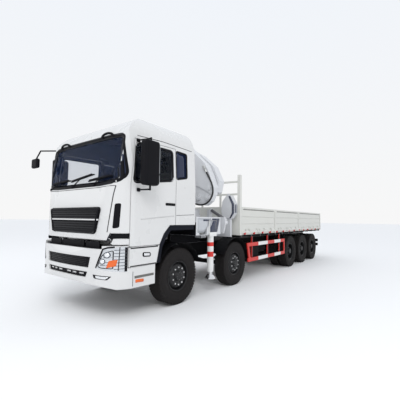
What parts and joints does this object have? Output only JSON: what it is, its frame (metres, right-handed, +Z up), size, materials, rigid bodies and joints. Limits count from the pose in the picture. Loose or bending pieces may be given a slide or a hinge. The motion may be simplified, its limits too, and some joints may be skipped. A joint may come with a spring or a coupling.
{
  "type": "knuckle boom crane truck",
  "caption": "Cab-over heavy truck with a folded knuckle boom crane behind a tilting cab, stabiliser legs and a long flat bed with drop sides.",
  "frame": {"origin": "on the ground, at the centre of the plan outline", "axes": "front faces -Y, +X is the truck's left side, +Z is up"},
  "size_m": [3.135, 11.835, 3.9448],
  "materials": {
    "tyre": "matt rubber",
    "black_steel": "semi-gloss black paint",
    "white_paint": "glossy white paint",
    "bed_paint": "satin off-white paint",
    "crane_paint": "satin light grey-white paint",
    "striped_paint": "red and white safety stripes",
    "black_plastic": "matt black plastic",
    "glass": "tinted safety glass",
    "lamp": "clear lamp lens",
    "interior": "dark cab trim",
    "dark_steel": "dark engine and axle castings",
    "rod_chrome": "hard chromed rod"
  },
  "bodies": {
    "chassis": {"chassis_frame": "black_steel", "engine_block": "dark_steel", "front_axles": "dark_steel", "rear_axles": "dark_steel", "tanks": "black_steel", "mudguards": "black_plastic", "side_guards": "striped_paint", "bed_deck": "bed_paint", "headboard": "bed_paint", "front_bumper": "white_paint", "headlamps": "lamp", "bumper_grille": "black_plastic", "crane_base": "crane_paint", "oil_tank": "crane_paint"},
    "cab": {"cab_shell": "white_paint", "cab_glass": "glass", "cab_grille": "black_plastic", "cab_interior": "interior", "front_mirror": "black_plastic"},
    "door_left_body": {"door_left": "white_paint", "door_glass_left": "glass", "mirror_left": "black_plastic"},
    "door_right_body": {"door_right": "white_paint", "door_glass_right": "glass", "mirror_right": "black_plastic"},
    "knuckle_1_left_body": {"knuckle_1_left": "dark_steel"},
    "wheel_1_left_body": {"wheel_1_left": "tyre"},
    "knuckle_1_right_body": {"knuckle_1_right": "dark_steel"},
    "wheel_1_right_body": {"wheel_1_right": "tyre"},
    "knuckle_2_left_body": {"knuckle_2_left": "dark_steel"},
    "wheel_2_left_body": {"wheel_2_left": "tyre"},
    "knuckle_2_right_body": {"knuckle_2_right": "dark_steel"},
    "wheel_2_right_body": {"wheel_2_right": "tyre"},
    "wheel_3_left_body": {"wheel_3_left": "tyre"},
    "wheel_3_right_body": {"wheel_3_right": "tyre"},
    "wheel_4_left_body": {"wheel_4_left": "tyre"},
    "wheel_4_right_body": {"wheel_4_right": "tyre"},
    "wheel_5_left_body": {"wheel_5_left": "tyre"},
    "wheel_5_right_body": {"wheel_5_right": "tyre"},
    "side_left_1_body": {"side_left_1": "bed_paint"},
    "side_left_2_body": {"side_left_2": "bed_paint"},
    "side_left_3_body": {"side_left_3": "bed_paint"},
    "side_right_1_body": {"side_right_1": "bed_paint"},
    "side_right_2_body": {"side_right_2": "bed_paint"},
    "side_right_3_body": {"side_right_3": "bed_paint"},
    "tailgate_body": {"tailgate": "bed_paint"},
    "outrigger_left_body": {"outrigger_left": "crane_paint"},
    "jack_left_body": {"jack_left": "crane_paint"},
    "outrigger_right_body": {"outrigger_right": "crane_paint"},
    "jack_right_body": {"jack_right": "crane_paint"},
    "column_body": {"crane_column": "crane_paint"},
    "inner_boom_body": {"inner_boom": "crane_paint"},
    "outer_boom_body": {"outer_boom": "crane_paint"},
    "extension_body": {"boom_extension": "crane_paint"},
    "hook_body": {"hook": "black_steel"},
    "lift_barrel_body": {"lift_barrel": "crane_paint"},
    "lift_rod_body": {"lift_rod": "rod_chrome"}
  },
  "joints": [
    {"name": "cab_tilt", "type": "hinge", "parent": "chassis", "child": "cab", "pos_m": [0, -5.72, 1.2], "axis": [1, 0, 0], "range_deg": [0, 50]},
    {"name": "door_left_hinge", "type": "hinge", "parent": "cab", "child": "door_left_body", "pos_m": [1.234, -5.499, 2], "axis": [0, 0, -1], "range_deg": [0, 70]},
    {"name": "door_right_hinge", "type": "hinge", "parent": "cab", "child": "door_right_body", "pos_m": [-1.234, -5.499, 2], "axis": [0, 0, 1], "range_deg": [0, 70]},
    {"name": "steer_1_left", "type": "hinge", "parent": "chassis", "child": "knuckle_1_left_body", "pos_m": [0.84, -4.22, 0.548], "axis": [0, 0, 1], "range_deg": [-32, 38]},
    {"name": "spin_1_left", "type": "hinge", "parent": "knuckle_1_left_body", "child": "wheel_1_left_body", "pos_m": [1.035, -4.22, 0.548], "axis": [1, 0, 0], "continuous": true},
    {"name": "steer_1_right", "type": "hinge", "parent": "chassis", "child": "knuckle_1_right_body", "pos_m": [-0.84, -4.22, 0.548], "axis": [0, 0, 1], "range_deg": [-27.21, 32.31]},
    {"name": "spin_1_right", "type": "hinge", "parent": "knuckle_1_right_body", "child": "wheel_1_right_body", "pos_m": [-1.035, -4.22, 0.548], "axis": [1, 0, 0], "continuous": true},
    {"name": "steer_2_left", "type": "hinge", "parent": "chassis", "child": "knuckle_2_left_body", "pos_m": [0.84, -2.024, 0.548], "axis": [0, 0, 1], "range_deg": [-23.05, 27.37]},
    {"name": "spin_2_left", "type": "hinge", "parent": "knuckle_2_left_body", "child": "wheel_2_left_body", "pos_m": [1.035, -2.024, 0.548], "axis": [1, 0, 0], "continuous": true},
    {"name": "steer_2_right", "type": "hinge", "parent": "chassis", "child": "knuckle_2_right_body", "pos_m": [-0.84, -2.024, 0.548], "axis": [0, 0, 1], "range_deg": [-19.85, 23.57]},
    {"name": "spin_2_right", "type": "hinge", "parent": "knuckle_2_right_body", "child": "wheel_2_right_body", "pos_m": [-1.035, -2.024, 0.548], "axis": [1, 0, 0], "continuous": true},
    {"name": "spin_3_left", "type": "hinge", "parent": "chassis", "child": "wheel_3_left_body", "pos_m": [0.915, 1.927, 0.548], "axis": [1, 0, 0], "continuous": true},
    {"name": "spin_3_right", "type": "hinge", "parent": "chassis", "child": "wheel_3_right_body", "pos_m": [-0.915, 1.927, 0.548], "axis": [1, 0, 0], "continuous": true},
    {"name": "spin_4_left", "type": "hinge", "parent": "chassis", "child": "wheel_4_left_body", "pos_m": [0.915, 3.276, 0.548], "axis": [1, 0, 0], "continuous": true},
    {"name": "spin_4_right", "type": "hinge", "parent": "chassis", "child": "wheel_4_right_body", "pos_m": [-0.915, 3.276, 0.548], "axis": [1, 0, 0], "continuous": true},
    {"name": "spin_5_left", "type": "hinge", "parent": "chassis", "child": "wheel_5_left_body", "pos_m": [0.915, 4.625, 0.548], "axis": [1, 0, 0], "continuous": true},
    {"name": "spin_5_right", "type": "hinge", "parent": "chassis", "child": "wheel_5_right_body", "pos_m": [-0.915, 4.625, 0.548], "axis": [1, 0, 0], "continuous": true},
    {"name": "drop_left_1", "type": "hinge", "parent": "chassis", "child": "side_left_1_body", "pos_m": [1.262, -0.69, 1.299], "axis": [0, 1, 0], "range_deg": [0, 180]},
    {"name": "drop_left_2", "type": "hinge", "parent": "chassis", "child": "side_left_2_body", "pos_m": [1.262, 1.615, 1.299], "axis": [0, 1, 0], "range_deg": [0, 180]},
    {"name": "drop_left_3", "type": "hinge", "parent": "chassis", "child": "side_left_3_body", "pos_m": [1.262, 4.31, 1.299], "axis": [0, 1, 0], "range_deg": [0, 180]},
    {"name": "drop_right_1", "type": "hinge", "parent": "chassis", "child": "side_right_1_body", "pos_m": [-1.262, -0.69, 1.299], "axis": [0, 1, 0], "range_deg": [-180, 0]},
    {"name": "drop_right_2", "type": "hinge", "parent": "chassis", "child": "side_right_2_body", "pos_m": [-1.262, 1.615, 1.299], "axis": [0, 1, 0], "range_deg": [-180, 0]},
    {"name": "drop_right_3", "type": "hinge", "parent": "chassis", "child": "side_right_3_body", "pos_m": [-1.262, 4.31, 1.299], "axis": [0, 1, 0], "range_deg": [-180, 0]},
    {"name": "drop_tailgate", "type": "hinge", "parent": "chassis", "child": "tailgate_body", "pos_m": [0, 5.904, 1.299], "axis": [1, 0, 0], "range_deg": [-180, 0]},
    {"name": "outrigger_left_slide", "type": "slide", "parent": "chassis", "child": "outrigger_left_body", "axis": [1, 0, 0], "range_m": [0, 1.6]},
    {"name": "jack_left_slide", "type": "slide", "parent": "outrigger_left_body", "child": "jack_left_body", "axis": [0, 0, -1], "range_m": [0, 0.33]},
    {"name": "outrigger_right_slide", "type": "slide", "parent": "chassis", "child": "outrigger_right_body", "axis": [-1, 0, 0], "range_m": [0, 1.6]},
    {"name": "jack_right_slide", "type": "slide", "parent": "outrigger_right_body", "child": "jack_right_body", "axis": [0, 0, -1], "range_m": [0, 0.33]},
    {"name": "crane_slew", "type": "hinge", "parent": "chassis", "child": "column_body", "pos_m": [0.3, -2.85, 1.8], "axis": [0, 0, 1], "range_deg": [-200, 200]},
    {"name": "crane_lift", "type": "hinge", "parent": "column_body", "child": "inner_boom_body", "pos_m": [-0.25, -2.91, 3.25], "axis": [0, -1, 0], "range_deg": [0, 115]},
    {"name": "crane_fold", "type": "hinge", "parent": "inner_boom_body", "child": "outer_boom_body", "pos_m": [1.02, -2.67, 2.42], "axis": [0, 1, 0], "range_deg": [0, 180]},
    {"name": "boom_telescope", "type": "slide", "parent": "outer_boom_body", "child": "extension_body", "axis": [-0.7232, 0, 0.6906], "range_m": [0, 1.2]},
    {"name": "hook_swing", "type": "hinge", "parent": "extension_body", "child": "hook_body", "pos_m": [-0.62784, -2.67, 3.89478], "axis": [0, 1, 0], "range_deg": [0, 180]},
    {"name": "lift_barrel_swing", "type": "hinge", "parent": "column_body", "child": "lift_barrel_body", "pos_m": [0.22, -3.085, 2], "axis": [0, -1, 0], "range_deg": [0, 16.5]},
    {"name": "lift_rod_slide", "type": "slide", "parent": "lift_barrel_body", "child": "lift_rod_body", "axis": [0, 0, 1], "range_m": [0, 0.739]}
  ],
  "couplings": [
    {"joint": "steer_1_right", "follows": "steer_1_left", "ratio": 0.85},
    {"joint": "steer_2_left", "follows": "steer_1_left", "ratio": 0.72},
    {"joint": "steer_2_right", "follows": "steer_1_left", "ratio": 0.62},
    {"joint": "lift_barrel_swing", "follows": "crane_lift", "ratio": 0.14261},
    {"joint": "lift_rod_slide", "follows": "crane_lift", "m_per_rad": 0.36769}
  ]
}
